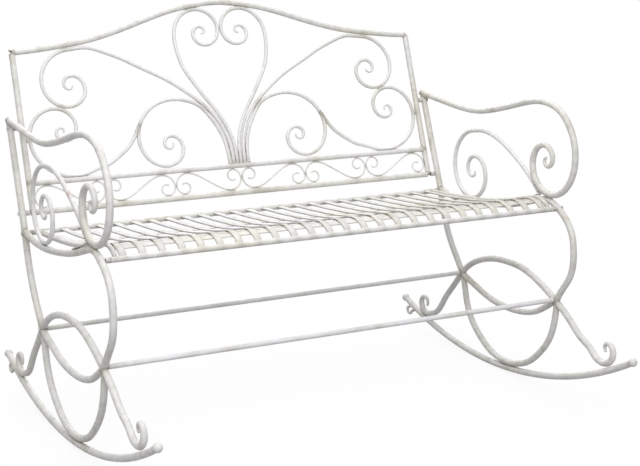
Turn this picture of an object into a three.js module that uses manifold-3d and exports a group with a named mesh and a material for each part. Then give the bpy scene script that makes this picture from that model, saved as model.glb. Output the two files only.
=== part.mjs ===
// Rocking bench: two side frames of bent tube on curved runners, a scrollwork back and a strap seat.
// Millimetres, +Z up. The front faces -Y, and X runs to the right of someone facing the front.
import * as THREE from 'three';
import Module from 'manifold-3d';

const wasm = await Module();
wasm.setup();

// Overall layout
const frameSpacing = 1100; // from the middle of one side frame to the middle of the other
const jigSide = 1000; // side of the square jig that every bent bar is laid out on
const clearance = 0.3; // gap left wherever two pieces meet

// Bar sizes
const tubeDiameter = 15;
const stretcherDiameter = 11;
const braceDiameter = 10;
const stopDiameter = 7;
const backTubeDiameter = 14;
const midRailDiameter = 13;
const rodDiameter = 9;
const wireDiameter = 4;
const seatRailDiameter = 12;
const seatEndDiameter = 10;
const stayThickness = 3;
const stayWidth = 12;
const ballDiameter = 20;
const ballRingAngles = [-45, -15, 15, 45, 72]; // latitudes of a ball's rings, in degrees
const tubeSides = 8;
const rodSides = 6;
const tipShare = 0.42; // how much of a bar's thickness is left at the end of a scroll
const taperAngle = THREE.MathUtils.degToRad(240); // turn over which the bar thins towards that end
const armTaperAngle = THREE.MathUtils.degToRad(420); // the same on an arm rail

// Runners
const runnerRadius = 1129; // of the middle line of the runner tube
const runnerSteps = 26;
const stepsBehindMiddle = 10; // the other steps lie in front of the lowest one
const runnerStepAngle = THREE.MathUtils.degToRad(1.895);
const runnerMiddleShare = 0.087; // how far the lowest point lies behind the middle of the bench

// Seat
const strapCount = 25;
const strapPitchShare = 0.040307; // of the way from one end bar of the seat to the other
const strapWidth = 16;
const strapThickness = 3;
const crossStripThickness = 2;
const crossStripWidth = 30;
const stripSinkShare = 0.25; // how much of a strip's thickness lies in the straps above it

// Bolts
const boltDiameter = 6;
const boltHeadDiameter = 12;
const boltCrownDiameter = 7; // of the flat on top of a head
const boltHeadHeight = 2;
const boltReach = 16; // how far a shank goes into the end of a rail
const stileReach = 5; // how far a shank goes into the side of a stile
const collarDiameter = 12;
const boltSides = 8;

// Back
const backInset = 26; // from the middle of a side frame to the middle of a stile
const backFootShare = [0.327, 0.4394]; // middle of the low rail in the side view
const backLeanAngle = THREE.MathUtils.degToRad(19.6466); // from upright
const midRailShare = 0.066;
const stileShare = 0.3705;
const stileAcrossShare = 0.524; // from the middle of the back to the middle of a stile
const bandPitchShare = 0.1723; // along the band, from one scroll to the next
const bandCount = 6;
const upperBoltShare = 0.195; // up the stile from the low rail

const halfSpacing = frameSpacing / 2;
const tubeRadius = tubeDiameter / 2;
const backTubeRadius = backTubeDiameter / 2;
const midRailRadius = midRailDiameter / 2;
const stileAcross = halfSpacing - backInset;
const collarGap = backInset - tubeRadius - backTubeRadius;
const railReach = halfSpacing - tubeRadius - collarGap;
const endAcross = railReach - seatEndDiameter;
const runnerMiddle = new THREE.Vector2(runnerMiddleShare * jigSide, runnerRadius + tubeRadius);

// What a share of 1 stands for: depth and height in the side view, across and up in the back
const sideJig = new THREE.Vector2(jigSide, jigSide);
const backJig = new THREE.Vector2(stileAcross / stileAcrossShare, jigSide);

// Side frame: middle lines in the side view, as shares of the jig (depth, height)
const armCornerShare = [0.401, 0.6395];
const postFootShare = [0.308, 0.4015];
const armShares = [
  armCornerShare,
  [0.31, 0.6315],
  [0.216, 0.624],
  [0.15, 0.6245],
  [0.082, 0.6355],
  [0.001, 0.6555],
  [-0.057, 0.6705],
  [-0.11, 0.6785],
  [-0.15, 0.6755],
];
const armCurl = {
  eyeShare: [-0.139, 0.5437],
  outerShare: 0.1283,
  innerShare: 0.007,
  fall: 2.23,
  from: 111.8,
  turn: 690,
};
const postShares = [
  armCornerShare,
  [0.37, 0.56],
  [0.339, 0.481],
  postFootShare,
  [0.296, 0.361],
  [0.279, 0.3175],
  [0.25, 0.2675],
  [0.218, 0.2275],
  [0.2, 0.2035],
];
const seatLegShares = [
  postFootShare,
  [0.259, 0.3945],
  [0.209, 0.392],
  [0.158, 0.3935],
  [0.099, 0.4],
  [0.026, 0.4115],
  [-0.051, 0.4295],
  [-0.101, 0.4445],
  [-0.126, 0.451],
  [-0.149, 0.453],
  [-0.171, 0.448],
  [-0.193, 0.4375],
  [-0.215, 0.4225],
  [-0.232, 0.4045],
  [-0.242, 0.3865],
  [-0.248, 0.3605],
  [-0.249, 0.3275],
  [-0.242, 0.2975],
  [-0.224, 0.2695],
  [-0.206, 0.2465],
  [-0.19, 0.2225],
];
const eyeShares = [
  [-0.187, 0.2225],
  [-0.154, 0.2015],
  [-0.117, 0.1815],
  [-0.083, 0.1705],
  [-0.033, 0.1625],
  [0.019, 0.1615],
  [0.072, 0.1665],
  [0.127, 0.1805],
  [0.164, 0.1915],
  [0.2, 0.2035],
];
const archShares = [
  [0.322, 0.0695],
  [0.276, 0.1195],
  [0.224, 0.1765],
  [0.203, 0.201],
  [0.172, 0.2275],
  [0.129, 0.2505],
  [0.086, 0.2645],
  [0.039, 0.2725],
  [-0.004, 0.2745],
  [-0.051, 0.2725],
  [-0.105, 0.2595],
  [-0.151, 0.2415],
  [-0.194, 0.2205],
  [-0.244, 0.1905],
  [-0.287, 0.1605],
];
const rearFootCurl = {
  eyeShare: [0.372, 0.0865],
  outerShare: 0.035,
  innerShare: 0.013,
  fall: 3.5,
  from: -132,
  turn: 354,
};
const frontFootCurl = {
  eyeShare: [-0.381, 0.1605],
  outerShare: 0.059,
  innerShare: 0.0105,
  fall: 3.8,
  from: -19,
  turn: -396,
};
const hoopShares = [
  [0.198, 0.2045],
  [0.188, 0.1775],
  [0.177, 0.1375],
  [0.155, 0.0965],
  [0.116, 0.0615],
  [0.063, 0.0335],
  [0.029, 0.0265],
  [-0.005, 0.0255],
  [-0.046, 0.0325],
  [-0.091, 0.0505],
  [-0.132, 0.0825],
  [-0.163, 0.1175],
  [-0.181, 0.1535],
  [-0.19, 0.1905],
  [-0.194, 0.2195],
];
const stayShares = [
  [-0.03, 0.4324],
  [-0.1285, 0.4669],
];
const braceShares = [
  [-0.112, 0.4665],
  [-0.0975, 0.4795],
  [-0.0735, 0.4985],
  [-0.046, 0.5175],
  [-0.004, 0.541],
  [0.038, 0.5605],
  [0.081, 0.5735],
  [0.125, 0.578],
];
const braceCurl = {
  eyeShare: [0.158, 0.473],
  outerShare: 0.1015,
  innerShare: 0.006,
  fall: 1.36,
  from: 92,
  turn: -640,
};
// The stop is laid out from the runner's middle line, at its own angle from the lowest point.
const stopAngle = THREE.MathUtils.degToRad(17.21);
const stopShares = [
  [0, 0.0005],
  [0.01, -0.0105],
];
const stopCurl = {
  eyeShare: [0.032, -0.0115],
  outerShare: 0.014,
  innerShare: 0.0055,
  fall: 1.5,
  from: 190,
  turn: 290,
};

// Back: middle lines in the leaning plane, as shares of the jig (across, up from the low rail)
const crestShares = [
  [0, 0.474],
  [0.06, 0.4685],
  [0.12, 0.4575],
  [0.18, 0.44],
  [0.241, 0.4195],
  [0.313, 0.3985],
  [0.349, 0.3905],
  [0.386, 0.385],
  [0.442, 0.3775],
];
const heartShares = [
  [0.0049, 0.069],
  [0.0075, 0.125],
  [0.0175, 0.16],
  [0.0345, 0.194],
  [0.053, 0.222],
  [0.072, 0.25],
  [0.088, 0.276],
  [0.105, 0.305],
  [0.116, 0.337],
  [0.121, 0.37],
];
const heartCurl = {
  eyeShare: [0.049, 0.4004],
  outerShare: 0.0714,
  innerShare: 0.004,
  fall: 1.67,
  from: 0,
  turn: 650,
};
const upperWingShares = [
  [0.0144, 0.069],
  [0.0185, 0.124],
  [0.0305, 0.163],
  [0.0485, 0.194],
  [0.073, 0.222],
  [0.101, 0.246],
  [0.154, 0.285],
  [0.224, 0.323],
  [0.265, 0.345],
  [0.306, 0.3625],
  [0.346, 0.3745],
];
const upperWingCurl = {
  eyeShare: [0.397, 0.286],
  outerShare: 0.087,
  innerShare: 0.006,
  fall: 1.85,
  from: 98,
  turn: -640,
};
const innerWingShares = [
  [0.0239, 0.069],
  [0.0285, 0.122],
  [0.0405, 0.158],
  [0.0615, 0.194],
];
const innerWingCurl = {
  eyeShare: [0.172, 0.13],
  outerShare: 0.126,
  innerShare: 0.009,
  fall: 2.75,
  from: 136,
  turn: -700,
};
const outerWingShares = [
  [0.2415, 0.182],
  [0.255, 0.1585],
  [0.273, 0.1345],
  [0.301, 0.1125],
  [0.327, 0.0965],
];
const outerWingCurl = {
  eyeShare: [0.4317, 0.1804],
  outerShare: 0.1178,
  innerShare: 0.0057,
  fall: 2.44,
  from: -126,
  turn: 715,
};
const bandShares = [
  [0, 0],
  [0.018, -0.0115],
  [0.035, -0.0205],
];
const bandCurl = {
  eyeShare: [0.0618, 0.0088],
  outerShare: 0.0365,
  innerShare: 0.0105,
  fall: 2.71,
  from: -117,
  turn: 430,
};

// Seat: middle line of a strap in the side view
const strapShares = [
  [0.308, 0.3995],
  [0.259, 0.402],
  [0.208, 0.405],
  [0.154, 0.4095],
  [0.099, 0.4145],
  [0.049, 0.421],
  [-0.001, 0.4295],
  [-0.051, 0.4405],
  [-0.101, 0.4535],
  [-0.129, 0.4595],
  [-0.151, 0.461],
  [-0.169, 0.457],
  [-0.182, 0.45],
  [-0.189, 0.441],
];
const rearRailShare = [0.308, 0.398];
const frontRailShare = [-0.191, 0.4415];
const middleStripShare = 0.117; // depth of the strip under the middle of the straps
const frontStripShare = -0.157; // depth of the strip behind the front roll

// Where the stretchers meet the side frames, in the side view
const rearNodeShare = [0.2, 0.2045];
const frontNodeShare = [-0.19, 0.2265];

const stepAngle = THREE.MathUtils.degToRad(24);
const wideSteps = 2; // between points that lie far apart
const closeSteps = 1;
const strapSamples = 400; // places tried along a strap to find a strip's depth

function onJig(share, jig = sideJig) {
  return new THREE.Vector2(...share).multiply(jig);
}

function layOut(shares, jig = sideJig) {
  return shares.map((share) => onJig(share, jig));
}

function smoothLine(points, steps) {
  const curve = new THREE.SplineCurve(points);
  return curve.getPoints(steps * (points.length - 1));
}

// A curl's radius falls from its outer to its inner value as it turns about its eye.
function curlPoints(curl, jig = sideJig) {
  const eye = onJig(curl.eyeShare, jig);
  const from = THREE.MathUtils.degToRad(curl.from);
  const turn = THREE.MathUtils.degToRad(curl.turn);
  const steps = Math.round(Math.abs(turn) / stepAngle);
  const points = [];
  for (let i = 0; i <= steps; i += 1) {
    const t = i / steps;
    const share = curl.innerShare + (curl.outerShare - curl.innerShare) * (1 - t) ** curl.fall;
    const angle = from + turn * t;
    const arm = new THREE.Vector2(Math.cos(angle), Math.sin(angle));
    points.push(arm.multiplyScalar(share).multiply(jig).add(eye));
  }
  return points;
}

function scrollLine(shares, curl, steps, jig = sideJig) {
  const stem = layOut(shares, jig);
  const round = curlPoints(curl, jig);
  const lead = smoothLine([...stem, round[0], round[1]], steps);
  lead.length -= steps;
  return [...lead, ...round.slice(1)];
}

// Thickness along a line that ends in a scroll: full, then falling evenly over the taper
function drawnOut(line, over = taperAngle) {
  const steps = Math.round(over / stepAngle);
  return line.map((_, i) => {
    const left = Math.min((line.length - 1 - i) / steps, 1);
    return tipShare + (1 - tipShare) * left;
  });
}

// A plane that bars are bent in: where its middle is, its two directions and its normal.
function sidePlane(across) {
  return {
    middle: new THREE.Vector3(across, 0, 0),
    along: new THREE.Vector3(0, 1, 0),
    up: new THREE.Vector3(0, 0, 1),
    normal: new THREE.Vector3(1, 0, 0),
  };
}

function backPlane(side) {
  const foot = onJig(backFootShare);
  const up = new THREE.Vector3(0, Math.sin(backLeanAngle), Math.cos(backLeanAngle));
  const along = new THREE.Vector3(side, 0, 0);
  return {
    middle: new THREE.Vector3(0, foot.x, foot.y),
    along,
    up,
    normal: new THREE.Vector3().crossVectors(along, up),
  };
}

// Sections, as offsets across the bar in its plane and out of its plane
function roundSection(diameter, sides) {
  const radius = diameter / 2 / Math.cos(Math.PI / sides);
  const corners = [];
  for (let i = 0; i < sides; i += 1) {
    const angle = (2 * Math.PI * (i + 0.5)) / sides;
    corners.push(new THREE.Vector2(radius * Math.cos(angle), radius * Math.sin(angle)));
  }
  return corners;
}

function flatSection(thickness, width, drop) {
  const low = -thickness / 2 - drop;
  const high = thickness / 2 - drop;
  return [
    new THREE.Vector2(high, width / 2),
    new THREE.Vector2(low, width / 2),
    new THREE.Vector2(low, -width / 2),
    new THREE.Vector2(high, -width / 2),
  ];
}

function directionAt(line, i) {
  const before = line[Math.max(i - 1, 0)];
  const after = line[Math.min(i + 1, line.length - 1)];
  return after.clone().sub(before).normalize();
}

// Sweeps a section along a line in a plane. A mitre slides the end section along the bar.
function sweep({ line, plane, section, swell, mitreStart = 0, mitreEnd = 0 }) {
  const places = [];
  const last = line.length - 1;
  line.forEach((point, i) => {
    const forward = directionAt(line, i);
    const left = new THREE.Vector2(-forward.y, forward.x);
    const mitre = i === 0 ? mitreStart : i === last ? mitreEnd : 0;
    const factor = swell ? swell[i] : 1;
    section.forEach((corner) => {
      const flat = point.clone();
      flat.addScaledVector(left, corner.x * factor);
      flat.addScaledVector(forward, corner.x * mitre);
      const place = plane.middle.clone();
      place.addScaledVector(plane.along, flat.x);
      place.addScaledVector(plane.up, flat.y);
      place.addScaledVector(plane.normal, corner.y * factor);
      places.push(place);
    });
  });
  return closedSolid(places, section.length, line.length);
}

function closedSolid(places, sides, rings) {
  const faces = [];
  for (let r = 0; r + 1 < rings; r += 1) {
    for (let s = 0; s < sides; s += 1) {
      const a = r * sides + s;
      const b = r * sides + ((s + 1) % sides);
      faces.push(a, b, b + sides);
      faces.push(a, b + sides, a + sides);
    }
  }
  const end = (rings - 1) * sides;
  for (let s = 1; s + 1 < sides; s += 1) {
    faces.push(0, s + 1, s);
    faces.push(end, end + s, end + s + 1);
  }
  if (enclosedVolume(places, faces) < 0) {
    faces.reverse();
  }
  const mesh = new wasm.Mesh({
    numProp: 3,
    vertProperties: new Float32Array(places.flatMap((p) => p.toArray())),
    triVerts: new Uint32Array(faces),
  });
  return new wasm.Manifold(mesh);
}

function enclosedVolume(places, faces) {
  let total = 0;
  for (let i = 0; i < faces.length; i += 3) {
    const [a, b, c] = [places[faces[i]], places[faces[i + 1]], places[faces[i + 2]]];
    total += a.dot(new THREE.Vector3().crossVectors(b, c));
  }
  return total;
}

// A bar keeps how it was made, so that a neighbour can be cut to seat on it.
function bar(spec) {
  return { spec, solid: sweep(spec), room: sweep({ ...spec, section: spec.roomSection }) };
}

function roundBar(line, plane, diameter, sides, extra = {}) {
  const section = roundSection(diameter, sides);
  const roomSection = roundSection(diameter + 2 * clearance, sides);
  return bar({ line, plane, section, roomSection, ...extra });
}

function seatOn(piece, neighbours) {
  let solid = piece.solid;
  neighbours.forEach((neighbour) => {
    solid = largestBody(solid.subtract(neighbour.room));
  });
  return { ...piece, solid };
}

function largestBody(solid) {
  const bodies = solid.decompose();
  bodies.sort((a, b) => b.volume() - a.volume());
  return bodies[0];
}

function runnerPoint(angle) {
  const arm = new THREE.Vector2(Math.sin(angle), -Math.cos(angle));
  return arm.multiplyScalar(runnerRadius).add(runnerMiddle);
}

// The runner is an arc that ends in a ball at each end.
function runnerLine() {
  const line = [];
  for (let i = 0; i <= runnerSteps; i += 1) {
    line.push(runnerPoint((stepsBehindMiddle + 0.5 - i) * runnerStepAngle));
  }
  return line;
}

function ballEnd(point, forward) {
  const ballRadius = ballDiameter / 2;
  const angles = ballRingAngles.map((angle) => THREE.MathUtils.degToRad(angle));
  return angles.map((angle) => ({
    point: point.clone().addScaledVector(forward, ballRadius * Math.sin(angle)),
    factor: (ballRadius * Math.cos(angle)) / tubeRadius,
  }));
}

function runner(plane) {
  const arc = runnerLine();
  const start = ballEnd(arc[0], directionAt(arc, 0).negate()).reverse();
  const end = ballEnd(arc[arc.length - 1], directionAt(arc, arc.length - 1));
  const middle = arc.slice(1, -1).map((point) => ({ point, factor: 1 }));
  const rings = [...start, ...middle, ...end];
  const line = rings.map((ring) => ring.point);
  const swell = rings.map((ring) => ring.factor);
  return roundBar(line, plane, tubeDiameter, tubeSides, { swell });
}

function mitreSlope(lineA, lineB) {
  const a = lineA[1].clone().sub(lineA[0]);
  const b = lineB[1].clone().sub(lineB[0]);
  const half = (b.angle() - a.angle()) / 2;
  return 1 / Math.tan(half);
}

function sideFrame(across) {
  const plane = sidePlane(across);
  const armLine = scrollLine(armShares, armCurl, wideSteps);
  const postLine = smoothLine(layOut(postShares), closeSteps);
  const slope = mitreSlope(armLine, postLine);
  const armSwell = drawnOut(armLine, armTaperAngle);
  const armRail = roundBar(armLine, plane, tubeDiameter, tubeSides, { mitreStart: slope, swell: armSwell });
  const rearPost = roundBar(postLine, plane, tubeDiameter, tubeSides, { mitreStart: -slope });
  const rockerRunner = runner(plane);

  const frontFoot = curlPoints(frontFootCurl);
  const rearFoot = curlPoints(rearFootCurl);
  const archPoints = [rearFoot[1], rearFoot[0], ...layOut(archShares), frontFoot[0], frontFoot[1]];
  const archStem = smoothLine(archPoints, closeSteps);
  const archLine = [...rearFoot.slice(2).reverse(), ...archStem, ...frontFoot.slice(2)];
  const rearwards = drawnOut(archLine).reverse();
  const archSwell = drawnOut(archLine).map((factor, i) => Math.min(factor, rearwards[i]));
  const archBar = roundBar(archLine, plane, tubeDiameter, tubeSides, { swell: archSwell });
  const footArch = seatOn(archBar, [rockerRunner]);

  const legLine = smoothLine(layOut(seatLegShares), closeSteps);
  const seatLeg = seatOn(roundBar(legLine, plane, tubeDiameter, tubeSides), [rearPost, footArch]);
  const arm = seatOn(armRail, [rearPost, seatLeg]);
  const post = seatOn(rearPost, [footArch]);

  const eyeLine = smoothLine(layOut(eyeShares), closeSteps);
  const eyeBar = seatOn(roundBar(eyeLine, plane, tubeDiameter, tubeSides), [footArch, seatLeg, rearPost]);
  const hoopLine = smoothLine(layOut(hoopShares), closeSteps);
  const hoopBar = roundBar(hoopLine, plane, tubeDiameter, tubeSides);
  const hoop = seatOn(hoopBar, [footArch, eyeBar, rockerRunner]);

  const braceLine = scrollLine(braceShares, braceCurl, closeSteps);
  const braceBar = roundBar(braceLine, plane, braceDiameter, rodSides, { swell: drawnOut(braceLine) });
  const section = flatSection(stayThickness, stayWidth, 0);
  const roomSection = flatSection(stayThickness + 2 * clearance, stayWidth + 2 * clearance, 0);
  const stayBar = bar({ line: layOut(stayShares), plane, section, roomSection });
  const stay = seatOn(stayBar, [armRail, seatLeg]);
  const brace = seatOn(braceBar, [armRail, seatLeg, rearPost, stay]);
  const stopFoot = runnerPoint(stopAngle);
  const stopLine = scrollLine(stopShares, stopCurl, closeSteps).map((point) => point.add(stopFoot));
  const stop = seatOn(roundBar(stopLine, plane, stopDiameter, rodSides), [rockerRunner]);
  return {
    arm_rail: arm,
    rear_post: post,
    seat_leg: seatLeg,
    foot_arch: footArch,
    eye_bar: eyeBar,
    lower_hoop: hoop,
    rocker_runner: rockerRunner,
    arm_brace: brace,
    arm_stay: stay,
    rear_stop: stop,
  };
}

// A bar straight across the bench, from -reach to +reach, through a point of the side view
function crossBar(share, reach, diameter, sides) {
  const place = onJig(share);
  const plane = {
    middle: new THREE.Vector3(0, place.x, place.y),
    along: new THREE.Vector3(1, 0, 0),
    up: new THREE.Vector3(0, 0, 1),
    normal: new THREE.Vector3(0, -1, 0),
  };
  const line = [new THREE.Vector2(-reach, 0), new THREE.Vector2(reach, 0)];
  return roundBar(line, plane, diameter, sides);
}

function backFrame() {
  const plane = backPlane(1);
  const top = stileShare * jigSide;
  const rightHalf = [...layOut(crestShares, backJig), new THREE.Vector2(stileAcross, top)];
  const leftHalf = rightHalf.slice(1).reverse().map((p) => new THREE.Vector2(-p.x, p.y));
  const crestLine = smoothLine([...leftHalf, ...rightHalf], closeSteps);
  const stileLine = (side) => {
    const across = side * stileAcross;
    return [new THREE.Vector2(across, 0), new THREE.Vector2(across, top)];
  };
  const topDown = stileLine(1).reverse();
  const topSlope = mitreSlope([...crestLine].reverse(), topDown);
  const crest = roundBar(crestLine, plane, backTubeDiameter, tubeSides, {
    mitreStart: -topSlope,
    mitreEnd: -topSlope,
  });
  const lowLine = [new THREE.Vector2(-stileAcross, 0), new THREE.Vector2(stileAcross, 0)];
  const lowRail = roundBar(lowLine, plane, backTubeDiameter, tubeSides, { mitreStart: 1, mitreEnd: 1 });
  const stile = (side) => {
    const raw = roundBar(stileLine(side), plane, backTubeDiameter, tubeSides, {
      mitreStart: -side,
      mitreEnd: side * topSlope,
    });
    return seatOn(raw, [crest, lowRail]);
  };
  const stiles = [stile(-1), stile(1)];
  const midHeight = midRailShare * jigSide;
  const midLine = [new THREE.Vector2(-stileAcross, midHeight), new THREE.Vector2(stileAcross, midHeight)];
  const midRail = seatOn(roundBar(midLine, plane, midRailDiameter, tubeSides), stiles);
  return { crest, lowRail, midRail, stiles };
}

function backRods(frame, side) {
  const plane = backPlane(side);
  const rod = (shares, curl) => {
    const line = scrollLine(shares, curl, closeSteps, backJig);
    return roundBar(line, plane, rodDiameter, rodSides, { swell: drawnOut(line) });
  };
  const stileHere = frame.stiles[side > 0 ? 1 : 0];
  const heart = seatOn(rod(heartShares, heartCurl), [frame.midRail, frame.crest]);
  const upper = seatOn(rod(upperWingShares, upperWingCurl), [frame.midRail, frame.crest, heart]);
  const inner = seatOn(rod(innerWingShares, innerWingCurl), [frame.midRail, upper]);
  const outer = seatOn(rod(outerWingShares, outerWingCurl), [frame.midRail, inner, upper, stileHere]);
  return { heart_scroll: heart, upper_wing: upper, inner_wing: inner, outer_wing: outer };
}

// One S of the band: half of it turned about the middle of the S makes the other half
function bandScroll(frame, index) {
  const place = index + 0.5 - bandCount / 2;
  const lean = index % 2 === 0 ? 1 : -1;
  const middle = new THREE.Vector2(place * bandPitchShare * backJig.x, 0);
  middle.y = (backTubeRadius + midRailShare * jigSide - midRailRadius) / 2;
  const half = scrollLine(bandShares, bandCurl, closeSteps, backJig);
  const turned = half.slice(1).reverse().map((p) => p.clone().negate());
  const line = [...turned, ...half].map((p) => new THREE.Vector2(p.x * lean, p.y).add(middle));
  const wire = roundBar(line, backPlane(1), wireDiameter, rodSides);
  return seatOn(wire, [frame.midRail, frame.lowRail]);
}

function strapLine() {
  return smoothLine(layOut(strapShares), closeSteps);
}

// The part of the strap line within half a strip's width of a given depth
function stripLine(depth) {
  const curve = new THREE.SplineCurve(layOut(strapShares));
  const middle = curve.getSpacedPoints(strapSamples).findIndex((point) => point.x < depth) / strapSamples;
  const reach = crossStripWidth / 2 / curve.getLength();
  return [-reach, 0, reach].map((way) => curve.getPointAt(middle + way));
}

function seatPanel() {
  const rearRail = crossBar(rearRailShare, railReach, seatRailDiameter, tubeSides);
  const frontRail = crossBar(frontRailShare, railReach, seatRailDiameter, tubeSides);
  const endBar = (side) => {
    const raw = roundBar(strapLine(), sidePlane(side * endAcross), seatEndDiameter, rodSides);
    return seatOn(raw, [rearRail, frontRail]);
  };
  const ends = [endBar(-1), endBar(1)];
  const section = flatSection(strapThickness, strapWidth, 0);
  const straps = [];
  for (let i = 0; i < strapCount; i += 1) {
    const across = (i - (strapCount - 1) / 2) * strapPitchShare * 2 * endAcross;
    straps.push(sweep({ line: strapLine(), plane: sidePlane(across), section }));
  }
  const under = strapThickness / 2 + (0.5 - stripSinkShare) * crossStripThickness;
  const stripSection = flatSection(crossStripThickness, 2 * endAcross, -under);
  const strips = [middleStripShare, frontStripShare].map((share) =>
    sweep({ line: stripLine(share * jigSide), plane: sidePlane(0), section: stripSection }),
  );
  const welded = wasm.Manifold.union([...straps, ...strips]);
  const lattice = seatOn({ solid: welded }, [rearRail, frontRail, ...ends]);
  return { rearRail, frontRail, ends, lattice };
}

// A bolt comes in from the outer face of a side frame. Radii along it, from the head to the tip:
function boltProfile(gap, reach) {
  const outer = tubeRadius + clearance;
  const neck = boltDiameter / 2;
  const collar = [
    [-outer, neck],
    [-outer, collarDiameter / 2],
    [-tubeRadius - gap + clearance, collarDiameter / 2],
    [-tubeRadius - gap + clearance, neck],
  ];
  return [
    [outer + boltHeadHeight, boltCrownDiameter / 2],
    [outer + boltHeadHeight / 2, boltHeadDiameter / 2],
    [outer, boltHeadDiameter / 2],
    [outer, neck],
    ...(gap > 0 ? collar : []),
    [-tubeRadius - gap - reach, neck],
  ];
}

function turned(profile, side, share, extraRadius) {
  const place = onJig(share);
  const places = [];
  profile.forEach(([out, radius]) => {
    for (let i = 0; i < boltSides; i += 1) {
      const angle = (2 * Math.PI * (i + 0.5)) / boltSides;
      const size = radius + extraRadius;
      const across = side * (halfSpacing + out);
      const depth = place.x + size * Math.cos(angle);
      const height = place.y + size * Math.sin(angle);
      places.push(new THREE.Vector3(across, depth, height));
    }
  });
  return closedSolid(places, boltSides, profile.length);
}

function bolt(side, share, gap, reach) {
  const profile = boltProfile(gap, reach);
  const shank = [
    [tubeDiameter, boltDiameter / 2],
    [-tubeRadius - gap - reach - clearance, boltDiameter / 2],
  ];
  return { solid: turned(profile, side, share, 0), room: turned(shank, side, share, clearance) };
}

function onBack(share) {
  const plane = backPlane(1);
  const place = plane.middle.clone().addScaledVector(plane.up, share * jigSide);
  return [place.y / jigSide, place.z / jigSide];
}

// Assembly
const paintedSteel = { color: 0xe4e1d6, metalness: 0, roughness: 0.55 };
const boltSteel = { color: 0x4a463f, metalness: 0.6, roughness: 0.5 };

function toMesh(name, solid, finish) {
  const data = solid.getMesh();
  const geometry = new THREE.BufferGeometry();
  geometry.setAttribute('position', new THREE.BufferAttribute(new Float32Array(data.vertProperties), 3));
  geometry.setIndex(new THREE.BufferAttribute(new Uint32Array(data.triVerts), 1));
  geometry.computeVertexNormals();
  const mesh = new THREE.Mesh(geometry, new THREE.MeshStandardMaterial(finish));
  mesh.name = name;
  return mesh;
}

function bench() {
  const group = new THREE.Group();
  const pieces = {};
  const back = backFrame();
  const seat = seatPanel();
  const sides = { left: -1, right: 1 };
  const frames = {};
  Object.entries(sides).forEach(([word, side]) => {
    frames[word] = sideFrame(side * halfSpacing);
  });
  const archBars = [frames.left.foot_arch, frames.right.foot_arch];
  const innerFace = halfSpacing - tubeRadius - clearance;
  const stretcher = (share) => seatOn(crossBar(share, innerFace, stretcherDiameter, tubeSides), archBars);
  let rearStretcher = stretcher(rearNodeShare);
  let frontStretcher = stretcher(frontNodeShare);

  Object.entries(sides).forEach(([word, side]) => {
    const frame = frames[word];
    const stile = side < 0 ? 0 : 1;
    const bolts = {
      upper_back_bolt: bolt(side, onBack(upperBoltShare), collarGap, stileReach),
      lower_back_bolt: bolt(side, onBack(0), collarGap, stileReach),
      rear_seat_bolt: bolt(side, rearRailShare, collarGap, boltReach),
      front_seat_bolt: bolt(side, frontRailShare, collarGap, boltReach),
      rear_stretcher_bolt: bolt(side, rearNodeShare, 0, boltReach),
      front_stretcher_bolt: bolt(side, frontNodeShare, 0, boltReach),
    };
    const drilled = (piece, ...names) => seatOn(piece, names.map((name) => bolts[name]));
    frame.rear_post = drilled(frame.rear_post, 'upper_back_bolt', 'lower_back_bolt', 'rear_seat_bolt');
    frame.seat_leg = drilled(frame.seat_leg, 'front_seat_bolt', 'rear_seat_bolt');
    frame.foot_arch = drilled(frame.foot_arch, 'rear_stretcher_bolt', 'front_stretcher_bolt');
    back.stiles[stile] = drilled(back.stiles[stile], 'upper_back_bolt', 'lower_back_bolt');
    back.lowRail = drilled(back.lowRail, 'lower_back_bolt');
    seat.rearRail = drilled(seat.rearRail, 'rear_seat_bolt');
    seat.frontRail = drilled(seat.frontRail, 'front_seat_bolt');
    rearStretcher = drilled(rearStretcher, 'rear_stretcher_bolt');
    frontStretcher = drilled(frontStretcher, 'front_stretcher_bolt');
    ['eye_bar', 'lower_hoop', 'seat_leg', 'rear_post'].forEach((name) => {
      frame[name] = drilled(frame[name], 'rear_stretcher_bolt', 'front_stretcher_bolt');
    });
    Object.entries(frame).forEach(([name, piece]) => {
      pieces[`${word}_${name}`] = [piece, paintedSteel];
    });
    Object.entries(backRods(back, side)).forEach(([name, piece]) => {
      pieces[`${word}_${name}`] = [piece, paintedSteel];
    });
    Object.entries(bolts).forEach(([name, piece]) => {
      pieces[`${word}_${name}`] = [piece, boltSteel];
    });
    pieces[`${word}_back_stile`] = [back.stiles[stile], paintedSteel];
    pieces[`${word}_seat_end_bar`] = [seat.ends[stile], paintedSteel];
  });
  for (let i = 0; i < bandCount; i += 1) {
    pieces[`band_scroll_${i + 1}`] = [bandScroll(back, i), paintedSteel];
  }
  pieces.crest_rail = [back.crest, paintedSteel];
  pieces.mid_rail = [back.midRail, paintedSteel];
  pieces.low_rail = [back.lowRail, paintedSteel];
  pieces.seat_rear_rail = [seat.rearRail, paintedSteel];
  pieces.seat_front_rail = [seat.frontRail, paintedSteel];
  pieces.seat_lattice = [seat.lattice, paintedSteel];
  pieces.rear_stretcher = [rearStretcher, paintedSteel];
  pieces.front_stretcher = [frontStretcher, paintedSteel];
  Object.entries(pieces).forEach(([name, [piece, finish]]) => {
    group.add(toMesh(name, piece.solid, finish));
  });
  return standAtOrigin(group);
}

// Moves the whole bench so that the middle of its footprint lies at the origin
function standAtOrigin(group) {
  const box = new THREE.Box3().setFromObject(group);
  const middle = box.getCenter(new THREE.Vector3());
  group.children.forEach((mesh) => mesh.geometry.translate(-middle.x, -middle.y, -box.min.z));
  return group;
}

export default bench();
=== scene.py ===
import bpy
import numpy as np
from mathutils import Matrix, Vector


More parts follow.
